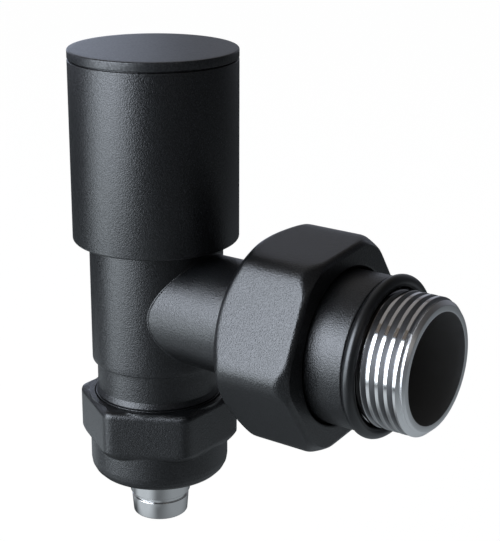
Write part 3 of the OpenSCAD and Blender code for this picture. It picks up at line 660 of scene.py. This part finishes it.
def threaded_end(bore_r, root_r, thread_low):
    """Threaded end of the tail: ground at its chamfered end, and duller in the grooves, where a
    darker tone paints their shade.
    """
    turns_to_chamfer = 4.1
    chamfer_low = tail_high - 1.1
    groove_depth = 0.12  # below the crests, where the duller plate with the grooves' painted shade starts
    pitch = (chamfer_low - thread_low) / turns_to_chamfer
    outside_r = thread_r + 0.5
    rod = helical_rod(thread_r, root_r, pitch, low=thread_low - 0.4, high=tail_high + 0.5)
    rod = scratch_object(rod, "thread_rod")
    bm = bmesh.new()
    turned(bm, [(bore_r, thread_low), (outside_r, thread_low), (outside_r, chamfer_low - 0.5),
                (thread_r - 1.0, tail_high, 0.15), (bore_r, tail_high, 0.12)],
           steps=160, closed=True)
    blank = scratch_object(bm, "thread_blank")
    bm = combined(rod, [("INTERSECT", blank)])
    darken_inside(bm, bore_r)
    for face in bm.faces:
        if face.material_index == PLATED:
            lowest = min(v.co.z for v in face.verts)
            innermost = min(math.hypot(v.co.x, v.co.y) for v in face.verts)
            if lowest > chamfer_low * MM:
                face.material_index = GROUND
            # faces in the grooves get the darker plate, which paints their shade
            elif innermost < (thread_r - groove_depth) * MM:
                face.material_index = GROOVED
    on_branch(bm)
    return scratch_object(bm, "threaded_end")


def tailpiece():
    """Plated tail: a threaded end, with a core and a flange behind it, and a dark bore."""
    bore_r = 8.5
    key_bore_r, key_bore_high = 7.0, tail_high - 11.8
    root_r = thread_r - 0.75
    thread_low = seal_high + 0.05
    core_r = 10.96
    land_r = thread_r - 0.2
    flange_high = tail_low + 2.5
    threaded = threaded_end(bore_r, root_r, thread_low)
    bm = bmesh.new()
    turned(bm, [(key_bore_r, tail_low), (flange_r, tail_low), (flange_r, flange_high),
                (core_r, flange_high), (core_r, sleeve_high), (land_r, sleeve_high),
                (land_r, seal_high - 0.5), (root_r, seal_high - 0.2), (root_r, thread_low),
                (bore_r, thread_low), (bore_r, key_bore_high), (key_bore_r, key_bore_high)],
           steps=160, closed=True)
    darken_inside(bm, bore_r)
    on_branch(bm)
    bm.from_mesh(threaded.data)
    bpy.data.objects.remove(threaded)
    piece("threaded_tail", bm, [chrome, bore_dark_grey, satin, groove_plate_painted_shade], "tail", "tailpiece",
          sharp_degrees=10)


def pipe_insert():
    """Plated insert: tapered tip, groove, straight tube, a step, and the flange with its cone."""
    bore_r = 3.9
    tip_r, tip_top_r, tip_top = 4.6, 4.85, insert_low + 3.1
    groove_r, tube_low = 4.58, tip_top + 0.8
    step_r, step_low, step_top = 4.9, 6.3, 6.9
    rim_r, rim_top = 8.3, 8.4
    cone_end_r, cone_top = 6.66, 12.6
    bm = bmesh.new()
    turned(bm, [(bore_r, insert_low, 0.15), (tip_r, insert_low, 0.25), (tip_top_r, tip_top, 0.12),
                (groove_r, tip_top + 0.1, 0.05), (groove_r, tube_low - 0.05, 0.05),
                (insert_r, tube_low, 0.15), (insert_r, step_low), (step_r, step_low),
                (step_r, step_top), (rim_r, step_top, 0.1), (rim_r, rim_top, 0.1),
                (cone_end_r, cone_top), (bore_r, cone_top)], steps=128, closed=True)
    piece("plated_pipe_insert", bm, [chrome], "valve", "pipe_insert")


handwheel()
cover_disc()
valve_body()
compression_nut()
union_nut()
tail_sleeve()
face_o_ring()
tailpiece()
pipe_insert()


# ---------------------------------------------------------------- studio

def grid(size):
    """A flat square sheet, one face."""
    bm = bmesh.new()
    bmesh.ops.create_grid(bm, x_segments=1, y_segments=1, size=size / 2)
    return bm


def stage_piece(name, bm, matrix, material):
    """A sheet or dome of the studio, not part of the object."""
    mesh = bpy.data.meshes.new(name)
    bm.to_mesh(mesh)
    bm.free()
    mesh.materials.append(material)
    made = bpy.data.objects.new(name, mesh)
    made.matrix_world = matrix
    bpy.context.scene.collection.objects.link(made)
    return made


floor_z = cad_bounds[0].z - 0.055
smooth = {"interpolation_type": "SMOOTHSTEP"}  # for the ramps of the studio's cards
key_radiance = 7.3  # of the key light as gloss shows it
streak_radiance = 4.8  # of its two streaks over the floor


def sees_white(tree):
    """1 for rays that see the backdrop as white: from the camera, off gloss or through glass."""
    path = add_node(tree, "ShaderNodeLightPath", {}, {})
    camera_or_gloss = add_node(tree, "ShaderNodeMath", {"operation": "MAXIMUM"}, {
        0: path.outputs["Is Camera Ray"], 1: path.outputs["Is Glossy Ray"]})
    return add_node(tree, "ShaderNodeMath", {"operation": "MAXIMUM"}, {
        0: camera_or_gloss.outputs[0], 1: path.outputs["Is Transmission Ray"]}).outputs[0]


def floor():
    """Pale floor well below the valve, which shows white but keeps a soft shadow."""
    glowing_share = 0.95
    glow = 1.03
    material, tree, _ = new_material("pale_studio_floor")
    seen = sees_white(tree)
    share = add_node(tree, "ShaderNodeMath", {"operation": "MULTIPLY"}, {
        0: seen, 1: glowing_share})
    matt = add_node(tree, "ShaderNodeBsdfDiffuse", {}, {"Color": linear("#f2f2f2")})
    white = add_node(tree, "ShaderNodeEmission", {}, {
        "Color": linear("#ffffff"), "Strength": glow})
    finish_material(tree, add_node(tree, "ShaderNodeMixShader", {}, {
        0: share.outputs[0], 1: matt.outputs[0], 2: white.outputs[0]}))
    stage_piece("studio_floor", grid(8), Matrix.Translation((0, 0, floor_z)), material)


def world():
    """Backdrop: white where it is seen, and a plain dim level for the light that it sheds."""
    dim_level = 0.25
    made = bpy.data.worlds.new("studio_world")
    bpy.context.scene.world = made
    made.use_nodes = True
    tree = made.node_tree
    tree.nodes.clear()
    seen = sees_white(tree)
    strength = add_node(tree, "ShaderNodeMapRange", {}, {
        "Value": seen, "To Min": dim_level, "To Max": 1.0})
    light = add_node(tree, "ShaderNodeBackground", {}, {
        "Color": linear("#ffffff"), "Strength": strength.outputs["Result"]})
    add_node(tree, "ShaderNodeOutputWorld", {}, {"Surface": light.outputs[0]})


def seen_by_gloss_only(made):
    """Studio cards shape reflections. They cast no shadow and the camera looks past them."""
    made.visible_camera = False
    made.visible_diffuse = False
    made.visible_shadow = False


def grey_tent():
    """Grey dome round the valve: dark on the right, lighter on the left, warm and dim above."""
    material, tree, place = new_material("grey_studio_tent")
    parts = add_node(tree, "ShaderNodeSeparateXYZ", {}, {"Vector": place})
    side = add_node(tree, "ShaderNodeMapRange", smooth, {
        "Value": parts.outputs["X"], "From Min": 0.9, "From Max": -1.1,
        "To Min": 0.09, "To Max": 0.60})
    overhead = add_node(tree, "ShaderNodeMapRange", smooth, {
        "Value": parts.outputs["Z"], "From Min": 0.3, "From Max": 0.9,
        "To Min": 1.0, "To Max": 0.4})
    strength = add_node(tree, "ShaderNodeMath", {"operation": "MULTIPLY"}, {
        0: side.outputs["Result"], 1: overhead.outputs["Result"]})
    warmth = add_node(tree, "ShaderNodeMapRange", smooth, {
        "Value": parts.outputs["Z"], "From Min": 0.4, "From Max": 1.1})
    tint = add_node(tree, "ShaderNodeValToRGB", {}, {"Fac": warmth.outputs["Result"]})
    tint.color_ramp.elements[0].color = linear("#e9efff")
    tint.color_ramp.elements[1].color = linear("#fff1e4")
    finish_material(tree, add_node(tree, "ShaderNodeEmission", {}, {
        "Color": tint.outputs["Color"], "Strength": strength.outputs[0]}))
    bm = bmesh.new()
    bmesh.ops.create_uvsphere(bm, u_segments=64, v_segments=32, radius=1.4)
    bmesh.ops.bisect_plane(bm, geom=bm.verts[:] + bm.edges[:] + bm.faces[:], dist=1e-6,
                           plane_co=(0, 0, floor_z + 0.002), plane_no=(0, 0, -1), clear_outer=True)
    seen_by_gloss_only(stage_piece("studio_tent", bm, Matrix.Identity(4), material))


def floor_card():
    """Card over the floor: dim, with four soft pools of light and the key light's two streaks."""
    pools = (  # middle, radii (full, end), radiance
        ((-0.065, -0.10, 0), 0.04, 0.11, 0.85),
        ((0.13, 0.05, 0), 0.06, 0.16, 0.25),
        ((0.05, -0.165, 0), 0.03, 0.10, 0.42),
        ((-0.165, 0.015, 0), 0.035, 0.08, 0.75))
    streaks = (  # azimuth, half angles (end, full), distances (start, full)
        (-127, 22, 8, 0.12, 0.23),
        (-114, 34, 22, 0.23, 0.31))
    dim_level = 0.06
    material, tree, place = new_material("grey_floor_card")
    reach = add_node(tree, "ShaderNodeVectorMath", {"operation": "LENGTH"}, {0: place})
    parts = add_node(tree, "ShaderNodeSeparateXYZ", {}, {"Vector": place})
    left = add_node(tree, "ShaderNodeMapRange", smooth, {
        "Value": parts.outputs["X"], "From Min": 0.01, "From Max": -0.04,
        "To Min": 1.0, "To Max": 0.3})
    near = add_node(tree, "ShaderNodeMapRange", smooth, {
        "Value": reach.outputs["Value"], "From Min": 0.22, "From Max": 0.42,
        "To Min": 0.17, "To Max": dim_level})
    strength = add_node(tree, "ShaderNodeMath", {"operation": "MULTIPLY"}, {
        0: near.outputs["Result"], 1: left.outputs["Result"]})
    strength = add_node(tree, "ShaderNodeMath", {"operation": "ADD"}, {
        0: strength.outputs[0], 1: dim_level})
    for middle, full, end, radiance in pools:
        off_pool = add_node(tree, "ShaderNodeVectorMath", {"operation": "DISTANCE"}, {
            0: place, 1: middle})
        pool = add_node(tree, "ShaderNodeMapRange", smooth, {
            "Value": off_pool.outputs["Value"], "From Min": full, "From Max": end,
            "To Min": radiance, "To Max": 0.0})
        strength = add_node(tree, "ShaderNodeMath", {"operation": "ADD"}, {
            0: strength.outputs[0], 1: pool.outputs["Result"]})
    outwards = add_node(tree, "ShaderNodeVectorMath", {"operation": "NORMALIZE"}, {0: place})
    for azimuth, half_end, half_full, start, full in streaks:
        way = (math.cos(math.radians(azimuth)), math.sin(math.radians(azimuth)), 0)
        along = add_node(tree, "ShaderNodeVectorMath", {"operation": "DOT_PRODUCT"}, {
            0: outwards.outputs[0], 1: way})
        wedge = add_node(tree, "ShaderNodeMapRange", smooth, {
            "Value": along.outputs["Value"], "From Min": math.cos(math.radians(half_end)),
            "From Max": math.cos(math.radians(half_full)), "To Max": streak_radiance})
        far = add_node(tree, "ShaderNodeMapRange", smooth, {
            "Value": reach.outputs["Value"], "From Min": start, "From Max": full})
        streak = add_node(tree, "ShaderNodeMath", {"operation": "MULTIPLY"}, {
            0: wedge.outputs["Result"], 1: far.outputs["Result"]})
        strength = add_node(tree, "ShaderNodeMath", {"operation": "MAXIMUM"}, {
            0: strength.outputs[0], 1: streak.outputs[0]})
    finish_material(tree, add_node(tree, "ShaderNodeEmission", {}, {
        "Color": linear("#e9f3fb"), "Strength": strength.outputs[0]}))
    level = Matrix.Translation((0, 0, floor_z + 0.001))
    seen_by_gloss_only(stage_piece("studio_floor_card", grid(2.8), level, material))


def facing(place, target):
    """A matrix at place whose -Z looks at target."""
    turn = (Vector(target) - Vector(place)).to_track_quat("-Z", "Y")
    return Matrix.Translation(place) @ turn.to_matrix().to_4x4()


def towards_valve(azimuth, elevation, distance):
    """Matrix of a lamp that looks at the valve's middle. The azimuth is an angle about +X."""
    middle = (cad_bounds[0] + cad_bounds[1]) / 2
    turn, rise = math.radians(azimuth), math.radians(elevation)
    way = Vector((math.cos(turn) * math.cos(rise), math.sin(turn) * math.cos(rise),
                  math.sin(rise)))
    return facing(middle + way * distance, middle)


def softbox(name, azimuth, elevation, distance, width, height, watts, colour):
    """Rectangular area lamp."""
    lamp = bpy.data.lights.new(name, "AREA")
    lamp.shape = "RECTANGLE"
    lamp.size = width
    lamp.size_y = height
    lamp.energy = watts
    lamp.color = linear(colour)[:3]
    made = bpy.data.objects.new(name, lamp)
    made.matrix_world = towards_valve(azimuth, elevation, distance)
    bpy.context.scene.collection.objects.link(made)


def bright_card(name, azimuth, elevation, distance, width, height, radiance, colour):
    """A bright card that only gloss shows, faced like a softbox and fading towards its edges."""
    fade_start, edge = 0.32, 0.5  # shares of the width and of the height
    material, tree, place = new_material(name)
    from_middle = add_node(tree, "ShaderNodeVectorMath", {"operation": "ABSOLUTE"}, {0: place})
    across = add_node(tree, "ShaderNodeSeparateXYZ", {}, {"Vector": from_middle.outputs[0]})
    strength = radiance
    for axis, size in (("X", width), ("Y", height)):
        fade = add_node(tree, "ShaderNodeMapRange", smooth, {
            "Value": across.outputs[axis], "From Min": size * fade_start,
            "From Max": size * edge, "To Min": 1.0, "To Max": 0.0})
        strength = add_node(tree, "ShaderNodeMath", {"operation": "MULTIPLY"}, {
            0: strength, 1: fade.outputs["Result"]}).outputs[0]
    finish_material(tree, add_node(tree, "ShaderNodeEmission", {}, {
        "Color": linear(colour), "Strength": strength}))
    bm = grid(1)
    bmesh.ops.scale(bm, verts=bm.verts[:], vec=(width, height, 1))
    stand = towards_valve(azimuth, elevation, distance)
    seen_by_gloss_only(stage_piece(name, bm, stand, material))


def lights():
    """A large cool softbox left of the camera is the key, with a weak one high up behind.

    The bright cards are what gloss shows of the key and of two lesser lights.
    """
    cool = "#e8f0fc"
    softbox("key_softbox", azimuth=-111, elevation=20, distance=0.7,
            width=0.70, height=0.82, watts=7.0, colour=cool)
    bright_card("key_highlight_card", azimuth=-110, elevation=24.5, distance=0.72,
                width=0.70, height=0.72, radiance=key_radiance, colour=cool)
    bright_card("front_right_card", azimuth=-26, elevation=30, distance=0.8,
                width=0.45, height=0.35, radiance=0.6, colour="#fffaf2")
    bright_card("back_left_card", azimuth=146, elevation=9, distance=0.9,
                width=0.60, height=0.40, radiance=1.9, colour="#dde8ff")
    softbox("back_softbox", azimuth=150, elevation=62, distance=0.9,
            width=0.9, height=0.9, watts=0.5, colour=cool)


def camera():
    """Camera in front of the valve and to its right, a little above it and hardly rolled."""
    azimuth, elevation, roll = math.radians(35.434), math.radians(18.508), math.radians(0.265)
    distance = 0.240196
    target = Vector((0.011681, 0.009934, 0.034773))
    back = Vector((math.sin(azimuth) * math.cos(elevation),
                   -math.cos(azimuth) * math.cos(elevation), math.sin(elevation)))
    level = Vector((math.cos(azimuth), math.sin(azimuth), 0))
    right = math.cos(roll) * level + math.sin(roll) * back.cross(level)
    turn = Matrix((right, back.cross(right), back)).transposed().to_4x4()
    data = bpy.data.cameras.new("studio_camera")
    data.sensor_width = 36
    data.lens = 96.906
    data.clip_start, data.clip_end = 0.01, 20
    made = bpy.data.objects.new("studio_camera", data)
    made.matrix_world = Matrix.Translation(target + back * distance) @ turn
    bpy.context.scene.collection.objects.link(made)
    bpy.context.scene.camera = made


floor()
grey_tent()
floor_card()
world()
lights()
camera()
bpy.context.scene.view_settings.view_transform = "Standard"
